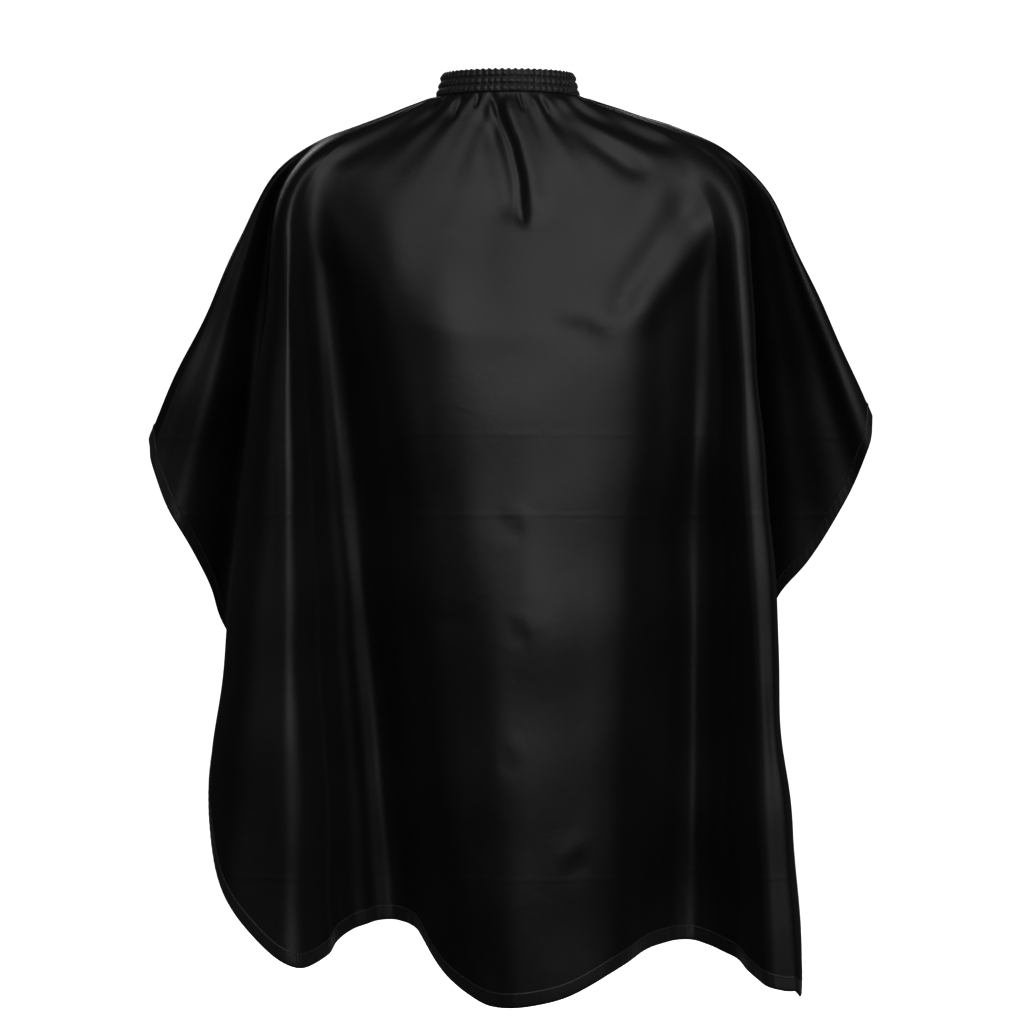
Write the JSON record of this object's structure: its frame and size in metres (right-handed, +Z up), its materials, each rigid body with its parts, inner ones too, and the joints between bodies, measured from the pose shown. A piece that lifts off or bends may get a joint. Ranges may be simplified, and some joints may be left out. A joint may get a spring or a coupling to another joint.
{
  "type": "barber cape",
  "caption": "Black nylon barber cape with a shirred elastic neckband, snap closure at the back, turned hems and a one-piece draped panel, shown as worn.",
  "frame": {"origin": "centre of the neck opening, halfway up the neckband but for half a millimetre", "axes": "+Z up along the neck, the cape's front faces -Y, +X is the wearer's left"},
  "size_m": [0.7373, 0.4026, 0.9281],
  "materials": {
    "black_nylon": "satin",
    "black_thread": "satin",
    "woven_elastic": "matte",
    "nickel_steel": "satin"
  },
  "bodies": {
    "cape": {"cape_panel": "black_nylon", "hem_front": "black_nylon", "hem_left": "black_nylon", "hem_right": "black_nylon", "hem_back_left": "black_nylon", "hem_back_right": "black_nylon", "slit_hem_left": "black_nylon", "slit_hem_right": "black_nylon", "hem_stitching": "black_thread", "slit_stitching": "black_thread", "neckband_outer": "black_nylon", "neckband_lining": "black_nylon", "elastic_top": "woven_elastic", "elastic_middle": "woven_elastic", "elastic_bottom": "woven_elastic", "shirring_row_1": "black_thread", "shirring_row_2": "black_thread", "shirring_row_3": "black_thread", "shirring_row_4": "black_thread", "underlap_tab": "black_nylon", "underlap_stitching": "black_thread", "overlap_root": "black_nylon", "snap_studs": "nickel_steel", "snap_rivets": "nickel_steel"},
    "closing_tab": {"overlap_tab": "black_nylon", "overlap_stitching": "black_thread", "snap_caps": "nickel_steel", "snap_sockets": "nickel_steel", "snap_springs": "nickel_steel"}
  },
  "joints": [
    {"name": "tab_open", "type": "hinge", "parent": "cape", "child": "closing_tab", "pos_m": [-0.00125, 0.07146, 0.0005], "axis": [0.0047, -0.2719, 0.9623], "range_deg": [0, 80]}
  ]
}
